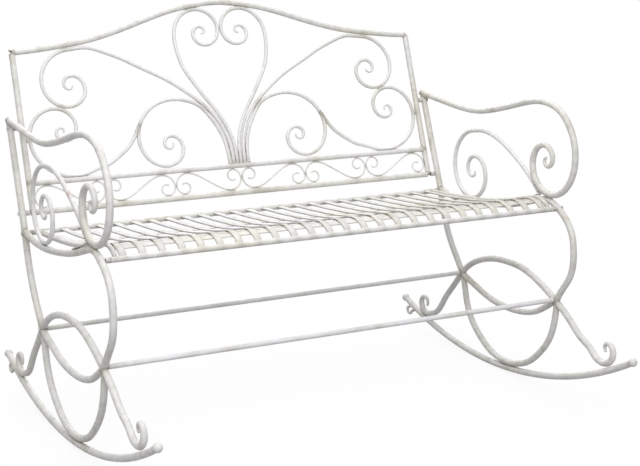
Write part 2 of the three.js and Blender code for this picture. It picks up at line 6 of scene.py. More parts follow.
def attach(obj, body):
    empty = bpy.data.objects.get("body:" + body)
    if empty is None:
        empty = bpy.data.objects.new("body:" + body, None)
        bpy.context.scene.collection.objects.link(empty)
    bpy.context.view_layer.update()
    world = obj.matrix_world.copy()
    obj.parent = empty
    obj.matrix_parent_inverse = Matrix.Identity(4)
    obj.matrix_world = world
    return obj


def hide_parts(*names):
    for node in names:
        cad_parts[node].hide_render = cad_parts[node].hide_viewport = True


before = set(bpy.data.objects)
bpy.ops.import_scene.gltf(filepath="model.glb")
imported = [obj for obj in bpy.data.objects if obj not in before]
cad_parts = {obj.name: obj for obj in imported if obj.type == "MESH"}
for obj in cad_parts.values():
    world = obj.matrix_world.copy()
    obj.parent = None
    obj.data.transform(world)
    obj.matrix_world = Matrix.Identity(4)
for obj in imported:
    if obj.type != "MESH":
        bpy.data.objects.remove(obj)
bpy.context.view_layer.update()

# Sizes in metres. Points are (depth, height) in the side view and (across, up the back) in the back.
HALF_SPACING = 0.55  # from the middle of the bench to the middle of a side frame
BENCH_SHIFT = np.array([0.0, -0.00867, -0.00016])  # from the layout of the bars to the model's origin
TUBE, STRETCHER, BRACE, STOP = 0.0075, 0.0055, 0.005, 0.0035  # radii
BACK_TUBE, MID_RAIL, ROD, WIRE, SEAT_RAIL, SEAT_END = 0.007, 0.0065, 0.0045, 0.002, 0.006, 0.005
STAY_THICKNESS, STAY_WIDTH = 0.003, 0.012
CUT_EDGE = 0.0012  # rounding of a cut bar's end
TIP_SHARE = 0.42  # how much of a bar's thickness is left at the end of a scroll
TAPER_TURN, ARM_TAPER_TURN = np.radians([240, 420])  # turn over which the bar thins towards that end
POINT_SPACING, STRAP_SPACING, FINE_SPACING = 0.004, 0.008, 0.003  # along a bar, a strap and a strip
WIRE_SPACING, STOP_SPACING = 0.0025, 0.002
ROUND_SIDES, WIRE_SIDES, BOLT_SIDES = 20, 12, 24

BACK_INSET = 0.026
COLLAR_GAP = BACK_INSET - TUBE - BACK_TUBE
STILE_ACROSS = HALF_SPACING - BACK_INSET
RAIL_REACH = HALF_SPACING - TUBE - COLLAR_GAP
END_ACROSS = RAIL_REACH - 2 * SEAT_END
STILE_TOP = 0.3705
MID_HEIGHT = 0.066
BACK_FOOT = (0.327, 0.4394)
BACK_SLOPE = 0.357
UPPER_BOLT = 0.195
BAND_PITCH = 0.1723
BAND_COUNT = 6

RUNNER_RADIUS = 1.12885
RUNNER_MIDDLE = (0.087, 1.1365)
RUNNER_FROM, RUNNER_TO = 19.9, -29.37  # degrees from straight down, the rear end first
BALL = 0.0098

STRAP_COUNT = 25
STRAP_PITCH = 0.042
STRAP_WIDTH, STRAP_THICKNESS = 0.016, 0.003
STRIP_WIDTH, STRIP_THICKNESS = 0.03, 0.002
STRIP_DEPTHS = (0.117, -0.157)

POST_FOOT = (0.308, 0.4015)
ARM = [(0.4088, 0.6402), (0.31, 0.6315), (0.216, 0.624), (0.15, 0.6245), (0.082, 0.6355), (0.001, 0.6555),
       (-0.057, 0.6705), (-0.11, 0.6785), (-0.15, 0.6755)]
POST = [(0.4004, 0.638), (0.37, 0.56), (0.339, 0.481), POST_FOOT, (0.296, 0.361), (0.279, 0.3175),
        (0.25, 0.2675), (0.218, 0.2275), (0.2, 0.2035)]
SEAT_LEG = [POST_FOOT, (0.259, 0.3945), (0.209, 0.392), (0.158, 0.3935), (0.099, 0.4), (0.026, 0.4115),
            (-0.051, 0.4295), (-0.101, 0.4445), (-0.126, 0.451), (-0.149, 0.453), (-0.171, 0.448),
            (-0.193, 0.4375), (-0.215, 0.4225), (-0.232, 0.4045), (-0.242, 0.3865), (-0.248, 0.3605),
            (-0.249, 0.3275), (-0.242, 0.2975), (-0.224, 0.2695), (-0.206, 0.2465), (-0.19, 0.2225)]
EYE_BAR = [(-0.187, 0.2225), (-0.154, 0.2015), (-0.117, 0.1815), (-0.083, 0.1705), (-0.033, 0.1625),
           (0.019, 0.1615), (0.072, 0.1665), (0.127, 0.1805), (0.164, 0.1915), (0.2, 0.2035)]
ARCH = [(0.322, 0.0695), (0.276, 0.1195), (0.224, 0.1765), (0.203, 0.201), (0.172, 0.2275), (0.129, 0.2505),
        (0.086, 0.2645), (0.039, 0.2725), (-0.004, 0.2745), (-0.051, 0.2725), (-0.105, 0.2595),
        (-0.151, 0.2415), (-0.194, 0.2205), (-0.244, 0.1905), (-0.287, 0.1605)]
HOOP = [(0.198, 0.2045), (0.188, 0.1775), (0.177, 0.1375), (0.155, 0.0965), (0.116, 0.0615), (0.063, 0.0335),
        (0.029, 0.0265), (-0.005, 0.0255), (-0.046, 0.0325), (-0.091, 0.0505), (-0.132, 0.0825),
        (-0.163, 0.1175), (-0.181, 0.1535), (-0.19, 0.1905), (-0.194, 0.2195)]
STAY = [(-0.03, 0.4324), (-0.1255, 0.4658)]
BRACE_BAR = [(-0.112, 0.4665), (-0.0975, 0.4795), (-0.0735, 0.4985), (-0.046, 0.5175), (-0.004, 0.541),
             (0.038, 0.5605), (0.081, 0.5735), (0.125, 0.578)]
STOP_BAR = [(0.421, 0.0585), (0.431, 0.0475)]
CREST = [(0, 0.474), (0.06, 0.4685), (0.12, 0.4575), (0.18, 0.44), (0.241, 0.4195), (0.313, 0.3985),
         (0.349, 0.3905), (0.386, 0.385), (0.442, 0.3775), (STILE_ACROSS, STILE_TOP)]
HEART = [(0.0049, 0.069), (0.0075, 0.125), (0.0175, 0.16), (0.0345, 0.194), (0.053, 0.222), (0.072, 0.25),
         (0.088, 0.276), (0.105, 0.305), (0.116, 0.337), (0.121, 0.37)]
UPPER_WING = [(0.0144, 0.069), (0.0185, 0.124), (0.0305, 0.163), (0.0485, 0.194), (0.073, 0.222),
              (0.101, 0.246), (0.154, 0.285), (0.224, 0.323), (0.265, 0.345), (0.306, 0.3625),
              (0.346, 0.3745)]
INNER_WING = [(0.0239, 0.069), (0.0285, 0.122), (0.0405, 0.158), (0.0615, 0.194)]
OUTER_WING = [(0.2415, 0.182), (0.255, 0.1585), (0.273, 0.1345), (0.301, 0.1125), (0.327, 0.0965)]
BAND = [(0, 0), (0.018, -0.0115), (0.035, -0.0205)]
STRAP = [(0.308, 0.3995), (0.259, 0.402), (0.208, 0.405), (0.154, 0.4095), (0.099, 0.4145), (0.049, 0.421),
         (-0.001, 0.4295), (-0.051, 0.4405), (-0.101, 0.4535), (-0.129, 0.4595), (-0.151, 0.461),
         (-0.169, 0.457), (-0.182, 0.45), (-0.189, 0.441)]
REAR_RAIL = (0.308, 0.398)
FRONT_RAIL = (-0.191, 0.4415)
REAR_NODE = (0.2, 0.2045)
FRONT_NODE = (-0.19, 0.2265)

# A curl: its eye, outer and inner radius, how fast the radius falls, first angle and whole turn in degrees
ARM_CURL = ((-0.139, 0.5437), 0.1283, 0.007, 2.23, 111.8, 690)
REAR_FOOT_CURL = ((0.372, 0.0865), 0.035, 0.013, 3.5, -132, 354)
FRONT_FOOT_CURL = ((-0.381, 0.1605), 0.059, 0.0105, 3.8, -19, -396)
BRACE_CURL = ((0.158, 0.473), 0.1015, 0.006, 1.36, 92, -640)
STOP_CURL = ((0.453, 0.0465), 0.014, 0.0055, 1.5, 190, 290)
HEART_CURL = ((0.049, 0.4004), 0.0714, 0.004, 1.67, 0, 650)
UPPER_WING_CURL = ((0.397, 0.286), 0.087, 0.006, 1.85, 98, -640)
INNER_WING_CURL = ((0.172, 0.13), 0.126, 0.009, 2.75, 136, -700)
OUTER_WING_CURL = ((0.4317, 0.1804), 0.1178, 0.0057, 2.44, -126, 715)
BAND_CURL = ((0.0618, 0.0088), 0.0365, 0.0105, 2.71, -117, 430)


# Middle lines
def smooth_line(points, spacing=POINT_SPACING):
    """Natural cubic through the points over their chord length: each coordinate's second slope solves one
    banded system, and the cubic of each stretch is read off at even distances."""
    points = np.asarray(points, float)
    knots = np.r_[0, np.cumsum(np.linalg.norm(np.diff(points, axis=0), axis=1))]
    step = np.diff(knots)
    count = len(knots)
    if count == 2:
        share = np.linspace(0, 1, max(2, round(knots[-1] / spacing)))[:, None]
        return points[0] * (1 - share) + points[1] * share
    inner = np.arange(1, count - 1)
    system = np.zeros((count, count))
    system[0, 0] = system[-1, -1] = 1
    system[inner, inner - 1] = step[:-1]
    system[inner, inner] = 2 * (step[:-1] + step[1:])
    system[inner, inner + 1] = step[1:]
    known = np.zeros_like(points)
    known[1:-1] = 6 * np.diff(np.diff(points, axis=0) / step[:, None], axis=0)
    bend = np.linalg.solve(system, known)
    at = np.linspace(0, knots[-1], round(knots[-1] / spacing) + 1)
    i = np.clip(np.searchsorted(knots, at, side="right") - 1, 0, count - 2)
    width, done, left = step[i][:, None], (at - knots[i])[:, None], (knots[i + 1] - at)[:, None]
    cubic = (bend[i] * left**3 + bend[i + 1] * done**3) / (6 * width)
    before = (points[i] / width - bend[i] * width / 6) * left
    after = (points[i + 1] / width - bend[i + 1] * width / 6) * done
    return cubic + before + after


def curl_points(curl, step=15):
    """Points round the eye: radius = inner + (outer - inner) * (1 - t) ** fall, angle = first + turn * t."""
    eye, outer, inner, fall, first, turn = curl
    t = np.linspace(0, 1, round(abs(turn) / step) + 1)
    radius = inner + (outer - inner) * (1 - t) ** fall
    angle = np.radians(first + turn * t)
    return np.array(eye) + radius[:, None] * np.c_[np.cos(angle), np.sin(angle)]


def scroll_line(stem, curl, spacing=POINT_SPACING):
    return smooth_line(np.vstack([stem, curl_points(curl)]), spacing)


# Planes that bars are bent in: middle, along, up and normal
def side_plane(across):
    return np.array([[across, 0, 0], [0, 1, 0], [0, 0, 1], [1, 0, 0]], float)


def back_plane(side):
    up = np.array([0, BACK_SLOPE, 1]) / np.hypot(BACK_SLOPE, 1)
    along = np.array([side, 0, 0], float)
    return np.array([[0, *BACK_FOOT], along, up, np.cross(along, up)])


def cross_plane(place):
    return np.array([[0, *place], [1, 0, 0], [0, 0, 1], [0, -1, 0]], float)


def in_space(flat, plane, out=0.0):
    """Point of a plane: middle + along * x + up * y + normal * out, moved to the model's origin."""
    middle, along, up, normal = plane
    flat = np.asarray(flat, float)
    in_plane = middle + flat[..., :1] * along + flat[..., 1:2] * up
    return in_plane + np.asarray(out)[..., None] * normal + BENCH_SHIFT


def directions(line):
    forward = np.gradient(line, axis=0)
    return forward / np.linalg.norm(forward, axis=1)[:, None]


# Surfaces as (points, faces)
def ring_faces(rings, sides):
    """Quads between neighbouring rings, and a fan from a pole to the first and to the last ring."""
    r, s = np.meshgrid(np.arange(rings - 1), np.arange(sides), indexing="ij")
    a, b = (r * sides + s).ravel(), (r * sides + (s + 1) % sides).ravel()
    quads = np.c_[a, b, b + sides, a + sides].tolist()
    s = np.arange(sides)
    following = (s + 1) % sides
    last = (rings - 1) * sides
    first_pole, last_pole = rings * sides, rings * sides + 1
    fans = np.r_[np.c_[following, s, np.full(sides, first_pole)],
                 np.c_[last + s, last + following, np.full(sides, last_pole)]].tolist()
    return quads + fans


def closed_surface(rings):
    """Closed shell over an array of rings (ring, side, xyz), turned outwards by the sign of its volume."""
    count, sides, _ = rings.shape
    points = np.vstack([rings.reshape(-1, 3), rings[0].mean(0), rings[-1].mean(0)])
    faces = ring_faces(count, sides)
    whole = np.array([f[:3] for f in faces] + [(f[0], f[2], f[3]) for f in faces if len(f) == 4])
    corners = points[whole] - points.mean(0)
    if np.einsum("ij,ij->i", corners[:, 0], np.cross(corners[:, 1], corners[:, 2])).sum() < 0:
        faces = [f[::-1] for f in faces]
    return points, faces


def drawn_out(line, over=TAPER_TURN):
    """Thickness towards the end of a scroll: full, then falling evenly with the turn that is left."""
    forward = directions(line)
    heading = np.unwrap(np.arctan2(forward[:, 1], forward[:, 0]))
    turn_left = np.r_[np.abs(np.diff(heading))[::-1].cumsum()[::-1], 0]
    return TIP_SHARE + (1 - TIP_SHARE) * np.minimum(turn_left / over, 1)


def with_ends(line, swell, radius, edges):
    """Adds rings past each end whose distance and shrink follow a quarter circle of the edge's radius."""
    turn = np.radians([25, 50, 72, 90])[:, None]
    for at_start, edge in zip((True, False), edges):
        if not edge:
            continue
        end, inside, full = (line[0], line[1], swell[0]) if at_start else (line[-1], line[-2], swell[-1])
        out = (end - inside) / np.linalg.norm(end - inside)
        extra = end - out * edge + out * edge * np.sin(turn)
        shrink = np.maximum(full - edge / radius * (1 - np.cos(turn[:, 0])), 0.03)
        cut = np.linalg.norm(line - end, axis=1) > edge
        line, swell = line[cut], swell[cut]
        extra = np.vstack([end - out * edge, extra])
        shrink = np.r_[full, shrink]
        if at_start:
            line, swell = np.vstack([extra[::-1], line]), np.r_[shrink[::-1], swell]
        else:
            line, swell = np.vstack([line, extra]), np.r_[swell, shrink]
    return line, swell


def swept(line, plane, outline, swell=None, slides=(0, 0)):
    """Outline carried along a plane line: point = line + left * x * swell, out of the plane by y * swell.
    A slide moves an end's outline along the bar by slide * x, for a mitre."""
    forward = directions(line)
    left = np.c_[-forward[:, 1], forward[:, 0]]
    swell = np.ones(len(line)) if swell is None else swell
    size = outline[None] * swell[:, None, None]
    flat = line[:, None] + left[:, None] * size[..., :1]
    flat[0] += forward[0] * outline[:, :1] * slides[0]
    flat[-1] += forward[-1] * outline[:, :1] * slides[1]
    return closed_surface(in_space(flat, plane, size[..., 1]))


def round_outline(radius, sides=ROUND_SIDES):
    angle = 2 * np.pi * (np.arange(sides) + 0.5) / sides
    return radius * np.c_[np.cos(angle), np.sin(angle)]


def strip_outline(thickness, width, drop, edge=0.0008):
    """Rectangle with its corners cut round: each corner is a quarter turn of three points."""
    turn = np.radians(np.arange(4)[:, None] * 90 + np.array([0, 45, 90]))
    corner = np.array([[1, 1], [-1, 1], [-1, -1], [1, -1]])[:, None]
    middle = corner * (np.array([thickness, width]) / 2 - edge)
    points = middle + edge * np.stack([np.cos(turn), np.sin(turn)], -1)
    return points.reshape(-1, 2) + np.array([drop, 0])


# Bars, and the welds between them
bars = {}
welds = []
BEAD_SIDES, BEAD_RINGS = 14, 9
END_BEAD, END_BEAD_PROUD = 0.0028, 0.0012  # half length of a bead round a bar's end, and how far it is proud
CREASE_BEAD, CREASE_BEAD_WIDTH = 0.0065, 0.0034  # half length and half width of one between two bars


def bar(name, line, plane, radius, edges=(CUT_EDGE, CUT_EDGE), slides=(0, 0), sides=ROUND_SIDES,
        swell=None):
    """Round bar along a plane line, its ends rounded over by the edges."""
    swell = np.ones(len(line)) if swell is None else swell
    ended, ended_swell = with_ends(line, swell, radius, edges)
    shell = swept(ended, plane, round_outline(radius, sides), ended_swell, slides)
    bars[name] = {"line": in_space(line, plane), "radius": radius, "shells": [shell]}


def scroll(name, stem, curl, plane, radius, over=TAPER_TURN):
    line = scroll_line(stem, curl)
    bar(name, line, plane, radius, swell=drawn_out(line, over))


def weld_lump(at, along, length, width, seed):
    """Lumpy bead: an ellipsoid whose width is drawn in by two slow waves round and along it."""
    around = np.linspace(0, 2 * np.pi, BEAD_SIDES, endpoint=False)
    around, down = np.meshgrid(around, np.linspace(0.12, np.pi - 0.12, BEAD_RINGS))
    along = along / np.linalg.norm(along)
    side = np.cross(along, [0.31, 0.22, 0.93])
    side /= np.linalg.norm(side)
    up = np.cross(along, side)
    lumps = 0.92 + 0.05 * np.sin(3 * around + 2.1 * down + seed) + 0.03 * np.sin(5 * down + 1.7 * seed)
    reach = (width * np.sin(down) * lumps)[..., None]
    rings = at + length * np.cos(down)[..., None] * along
    return closed_surface(rings + reach * (np.cos(around)[..., None] * side + np.sin(around)[..., None] * up))


def weld(name, other, size=1.0):
    """Bead on bar name where it meets the other: round the bar where it runs in, else in the crease."""
    a, b = bars[name], bars[other]
    apart = np.linalg.norm(a["line"][:, None] - b["line"][None], axis=2)
    nearest = apart.min(1)
    touching = a["radius"] + b["radius"]
    forward = directions(a["line"])
    seed = len(welds) * 1.3
    if nearest.min() < 0.6 * touching:
        i = int(np.argmin(np.abs(nearest - b["radius"] * 0.95)))
        at, length, width = a["line"][i], END_BEAD * size, a["radius"] + END_BEAD_PROUD * size
    else:
        i = int(np.argmin(nearest))
        j = int(np.argmin(apart[i]))
        share = a["radius"] / touching
        at = a["line"][i] * (1 - share) + b["line"][j] * share
        length, width = CREASE_BEAD * size, min(CREASE_BEAD_WIDTH * size, a["radius"])
    welds.append(at)
    a["shells"].append(weld_lump(at, forward[i], length, width, seed))


def mitre_slope(first, second):
    """Slide of a mitred end: one over the tangent of half the angle between two bars that leave a corner."""
    a, b = first[1] - first[0], second[1] - second[0]
    turn = np.arctan2(b[1], b[0]) - np.arctan2(a[1], a[0])
    return 1 / np.tan(turn % (2 * np.pi) / 2)


def runner_bar(name, plane):
    """Arc of the runner with a ball at each end: past an end the radius follows ball * cos(latitude)."""
    angle = np.radians(np.linspace(RUNNER_FROM, RUNNER_TO, 240))
    line = np.array(RUNNER_MIDDLE) + RUNNER_RADIUS * np.c_[np.sin(angle), -np.cos(angle)]
    latitude = np.radians(np.linspace(-42, 88, 16))
    reach, size = (BALL * np.sin(latitude) - 0.0007)[:, None], BALL * np.cos(latitude) / TUBE
    out_start, out_end = -directions(line)[0], directions(line)[-1]
    middle = line[3:-3]
    whole = np.vstack([(line[0] + out_start * reach)[::-1], middle, line[-1] + out_end * reach])
    swell = np.r_[size[::-1], np.ones(len(middle)), size]
    shell = swept(whole, plane, round_outline(TUBE), swell)
    bars[name] = {"line": in_space(line, plane), "radius": TUBE, "shells": [shell]}


def side_frame(word, side):
    plane = side_plane(side * HALF_SPACING)
    scroll(f"{word}_arm_rail", ARM, ARM_CURL, plane, TUBE, ARM_TAPER_TURN)
    bar(f"{word}_rear_post", smooth_line(POST), plane, TUBE)
    runner_bar(f"{word}_rocker_runner", plane)
    rear_curl, front_curl = curl_points(REAR_FOOT_CURL), curl_points(FRONT_FOOT_CURL)
    arch = smooth_line(np.vstack([rear_curl[::-1], ARCH, front_curl]))
    thinner = np.minimum(drawn_out(arch), drawn_out(arch[::-1])[::-1])
    bar(f"{word}_foot_arch", arch, plane, TUBE, swell=thinner)
    bar(f"{word}_seat_leg", smooth_line(SEAT_LEG), plane, TUBE)
    bar(f"{word}_eye_bar", smooth_line(EYE_BAR), plane, TUBE)
    bar(f"{word}_lower_hoop", smooth_line(HOOP), plane, TUBE)
    scroll(f"{word}_arm_brace", BRACE_BAR, BRACE_CURL, plane, BRACE)
    stay = smooth_line(STAY)
    strip = swept(stay, plane, strip_outline(STAY_THICKNESS, STAY_WIDTH, 0))
    middle = in_space(stay, plane)
    bars[f"{word}_arm_stay"] = {"line": middle, "radius": STAY_THICKNESS / 2, "shells": [strip]}
    bar(f"{word}_rear_stop", scroll_line(STOP_BAR, STOP_CURL, STOP_SPACING), plane, STOP)
    joints = [("seat_leg", "rear_post"), ("seat_leg", "foot_arch"), ("rear_post", "foot_arch"),
              ("eye_bar", "foot_arch"), ("lower_hoop", "foot_arch"), ("lower_hoop", "rocker_runner"),
              ("foot_arch", "rocker_runner"), ("arm_rail", "seat_leg"), ("arm_brace", "arm_rail"),
              ("arm_brace", "arm_stay"), ("rear_stop", "rocker_runner"), ("rear_post", "arm_rail")]
    for name, other in joints:
        weld(f"{word}_{name}", f"{word}_{other}")


WIRE_EDGE, WIRE_BEAD_SHARE = 0.0008, 0.6


def back():
    plane = back_plane(1)
    right = np.array(CREST)
    crest = smooth_line(np.vstack([right[:0:-1] * [-1, 1], right]))
    stile = smooth_line([(STILE_ACROSS, STILE_TOP), (STILE_ACROSS, 0)])
    slope = mitre_slope(crest[::-1], stile)
    bar("crest_rail", crest, plane, BACK_TUBE, (0, 0), (-slope, -slope))
    bar("low_rail", smooth_line([(-STILE_ACROSS, 0), (STILE_ACROSS, 0)]), plane, BACK_TUBE, (0, 0), (1, 1))
    bar("mid_rail", smooth_line([(-STILE_ACROSS, MID_HEIGHT), (STILE_ACROSS, MID_HEIGHT)]), plane, MID_RAIL)
    for word, side in SIDES:
        upright = stile[::-1] * [side, 1]
        bar(f"{word}_back_stile", upright, plane, BACK_TUBE, (0, 0), (-side, side * slope))
        half = back_plane(side)
        scroll(f"{word}_heart_scroll", HEART, HEART_CURL, half, ROD)
        scroll(f"{word}_upper_wing", UPPER_WING, UPPER_WING_CURL, half, ROD)
        scroll(f"{word}_inner_wing", INNER_WING, INNER_WING_CURL, half, ROD)
        scroll(f"{word}_outer_wing", OUTER_WING, OUTER_WING_CURL, half, ROD)
        weld("mid_rail", f"{word}_back_stile")
        for name in ("heart_scroll", "upper_wing", "inner_wing"):
            weld(f"{word}_{name}", "mid_rail")
        for name in ("heart_scroll", "upper_wing"):
            weld(f"{word}_{name}", "crest_rail")
        weld(f"{word}_inner_wing", f"{word}_upper_wing")
        for other in ("inner_wing", "upper_wing", "back_stile"):
            weld(f"{word}_outer_wing", f"{word}_{other}")
    for index in range(BAND_COUNT):
        lean = 1 if index % 2 == 0 else -1
        across = (index + 0.5 - BAND_COUNT / 2) * BAND_PITCH
        middle = np.array([across, (BACK_TUBE + MID_HEIGHT - MID_RAIL) / 2])
        half = np.vstack([BAND, curl_points(BAND_CURL)])
        line = smooth_line(np.vstack([-half[:0:-1], half]), WIRE_SPACING) * [lean, 1] + middle
        name = f"band_scroll_{index + 1}"
        bar(name, line, plane, WIRE, (WIRE_EDGE, WIRE_EDGE), sides=WIRE_SIDES)
        weld(name, "mid_rail", WIRE_BEAD_SHARE)
        weld(name, "low_rail", WIRE_BEAD_SHARE)


def seat():
    for name, place in (("seat_rear_rail", REAR_RAIL), ("seat_front_rail", FRONT_RAIL)):
        bar(name, smooth_line([(-RAIL_REACH, 0), (RAIL_REACH, 0)]), cross_plane(place), SEAT_RAIL)
    reach = HALF_SPACING - TUBE
    for name, place in (("rear_stretcher", REAR_NODE), ("front_stretcher", FRONT_NODE)):
        bar(name, smooth_line([(-reach, 0), (reach, 0)]), cross_plane(place), STRETCHER)
    line = smooth_line(STRAP, STRAP_SPACING)
    for word, side in SIDES:
        bar(f"{word}_seat_end_bar", line, side_plane(side * END_ACROSS), SEAT_END)
        weld(f"{word}_seat_end_bar", "seat_rear_rail")
        weld(f"{word}_seat_end_bar", "seat_front_rail")
    outline = strip_outline(STRAP_THICKNESS, STRAP_WIDTH, 0)
    across = (np.arange(STRAP_COUNT) - (STRAP_COUNT - 1) / 2) * STRAP_PITCH
    shells = [swept(line, side_plane(a), outline) for a in across]
    under = STRAP_THICKNESS / 2 + STRIP_THICKNESS / 4
    fine = smooth_line(STRAP, FINE_SPACING)
    along = np.r_[0, np.cumsum(np.linalg.norm(np.diff(fine, axis=0), axis=1))]
    outline = strip_outline(STRIP_THICKNESS, 2 * END_ACROSS, under, 0.0006)
    for depth in STRIP_DEPTHS:
        i = int(np.argmin(np.abs(fine[:, 0] - depth)))
        strip = fine[np.abs(along - along[i]) <= STRIP_WIDTH / 2]
        shells.append(swept(strip, side_plane(0), outline))
        welds.extend(in_space(fine[i], side_plane(a)) for a in across)
    for place in (REAR_RAIL, FRONT_RAIL):
        welds.extend(in_space(np.array(place), side_plane(a)) for a in across)
    middle = in_space(line, side_plane(0))
    bars["seat_lattice"] = {"line": middle, "radius": STRAP_THICKNESS, "shells": shells}


def on_back(up):
    _, _, direction, _ = back_plane(1)
    return np.array(BACK_FOOT) + up * direction[1:]


# Bolts
def turned(profile, side, place):
    """Profile of (distance outwards from the side frame's middle, radius) turned about the bolt's axis."""
    angle = 2 * np.pi * np.arange(BOLT_SIDES) / BOLT_SIDES
    out, radius = np.array(profile).T
    across = side * (HALF_SPACING + out)[:, None] + 0 * angle
    depth = place[0] + radius[:, None] * np.cos(angle)
    height = place[1] + radius[:, None] * np.sin(angle)
    return closed_surface(np.stack([across, depth, height], -1) + BENCH_SHIFT)


BOLT_SHANK, BOLT_HEAD, BOLT_HEAD_HEIGHT = 0.003, 0.0055, 0.001
COLLAR, COLLAR_EDGE, FIT = 0.006, 0.0008, 0.0003
RAIL_BOLT_REACH, STILE_BOLT_REACH = 0.016, 0.005


def bolt_shells(side, place, gap, reach):
    """Cap on the side frame's outer face, shank, and the collar between two tubes where there is a gap."""
    outer = TUBE + FIT
    rise = np.radians([80, 60, 40, 20, 0])
    cap = [(outer + BOLT_HEAD_HEIGHT * np.sin(a), BOLT_HEAD * np.cos(a)) for a in rise]
    cap += [(outer - FIT, BOLT_HEAD)]
    shells = {"shank": [(outer, BOLT_SHANK), (-TUBE - gap - reach, BOLT_SHANK)], "cap": cap}
    if gap > 0:
        inner = -TUBE - gap + FIT
        shells["collar"] = [(-outer, COLLAR - COLLAR_EDGE), (-outer - COLLAR_EDGE, COLLAR),
                            (inner + COLLAR_EDGE, COLLAR), (inner, COLLAR - COLLAR_EDGE)]
    return {part: turned(profile, side, place) for part, profile in shells.items()}


SIDES = (("left", -1), ("right", 1))
SEAT_BARS = ("seat_lattice", "left_seat_end_bar", "right_seat_end_bar")


# Finishes
def screen(red, green, blue):
    """Linear colour of a screen colour given from 0 to 255."""
    level = np.array([red, green, blue]) / 255
    linear = np.where(level <= 0.04045, level / 12.92, ((level + 0.055) / 1.055) ** 2.4)
    return (*map(float, linear), 1.0)


class Value:
    """A socket that can be added, taken away and multiplied."""

    def __init__(self, finish, socket):
        self.finish, self.socket = finish, socket

    def _math(self, operation, first, second):
        sockets = {"Value": first, "Value_001": second}
        return self.finish.node("ShaderNodeMath", {"operation": operation}, sockets)

    def __add__(self, other):
        return self._math("ADD", self, other)

    def __radd__(self, other):
        return self._math("ADD", other, self)

    def __sub__(self, other):
        return self._math("SUBTRACT", self, other)

    def __rsub__(self, other):
        return self._math("SUBTRACT", other, self)

    def __mul__(self, other):
        return self._math("MULTIPLY", self, other)

    def __rmul__(self, other):
        return self._math("MULTIPLY", other, self)


class Finish:
    """The nodes of one material or of the world."""

    def __init__(self, tree):
        self.tree = tree
        tree.nodes.clear()

    def node(self, kind, settings=None, sockets=None, output=0):
        node = self.tree.nodes.new(kind)
        for key, value in (settings or {}).items():
            setattr(node, key, value)
        for key, value in (sockets or {}).items():
            named = [s for s in node.inputs if s.identifier == key] or [node.inputs[key]]
            if isinstance(value, Value):
                self.tree.links.new(value.socket, named[0])
            else:
                named[0].default_value = value
        if not node.outputs:
            return node
        named = [s for s in node.outputs if s.identifier == output]
        return Value(self, named[0] if named else node.outputs[output])

    def blend(self, share, first, second):
        sockets = {"Factor_Float": share, "A_Color": first, "B_Color": second}
        return self.node("ShaderNodeMix", {"data_type": "RGBA"}, sockets, "Result_Color")

    def rise(self, value, low, high):
        """0 below low, 1 above high, smooth between."""
        sockets = {"Value": value, "From Min": low, "From Max": high}
        return self.node("ShaderNodeMapRange", {"interpolation_type": "SMOOTHSTEP"}, sockets)

    def cloud(self, scale, detail=3.0):
        place = self.node("ShaderNodeTexCoord", output="Object")
        return self.node("ShaderNodeTexNoise", None, {"Scale": scale, "Detail": detail, "Vector": place})


def new_material(name):
    material = bpy.data.materials.new(name)
    material.use_nodes = True
    return material, Finish(material.node_tree)


STRAP_EDGE_SHADE, STRIP_EDGE_SHADE = (0.0006, 0.0036), (0.004, 0.02)  # distances where the painted shade thins out and ends
YELLOW_FROM, YELLOW_TO = -0.15, 0.45  # across the seat


def near(paint, value, place, inside, outside):
    """1 within the inside distance of the place, 0 past the outside distance, smooth between."""
    off = paint.node("ShaderNodeMath", {"operation": "ABSOLUTE"}, {"Value": value - place})
    return 1 - paint.rise(off, inside, outside)


def seat_shade_and_yellowing(paint):
    """Painted shade of the seat: along each strap's edge, which lies half a strap's width from the nearest
    multiple of the pitch, and thick at the strips' rear edges. With it, how far the seat yellows towards the
    right."""
    place = paint.node("ShaderNodeTexCoord", output="Object")
    across, depth = [paint.node("ShaderNodeSeparateXYZ", None, {"Vector": place}, axis) for axis in "XY"]
    off_strap = paint.node("ShaderNodeMath", {"operation": "PINGPONG"},
                           {"Value": across, "Value_001": STRAP_PITCH / 2})
    along_edge = near(paint, off_strap, STRAP_WIDTH / 2, *STRAP_EDGE_SHADE)
    rear_edges = [strip + STRIP_WIDTH / 2 + BENCH_SHIFT[1] for strip in STRIP_DEPTHS]
    middle_strip, front_strip = [near(paint, depth, edge, *STRIP_EDGE_SHADE) for edge in rear_edges]
    patchy = 0.4 + 0.6 * paint.rise(paint.cloud(30.0, 2.0), 0.4, 0.62)
    # Painted shade along the straps' edges, deeper at the strips' rear edges, and patchy painted shade behind
    # the front strip
    painted_seat_shade = along_edge * (0.6 + 0.4 * front_strip + 0.3 * middle_strip) + front_strip * patchy * 0.8
    return painted_seat_shade, 0.12 + 0.6 * paint.rise(across, YELLOW_FROM, YELLOW_TO)


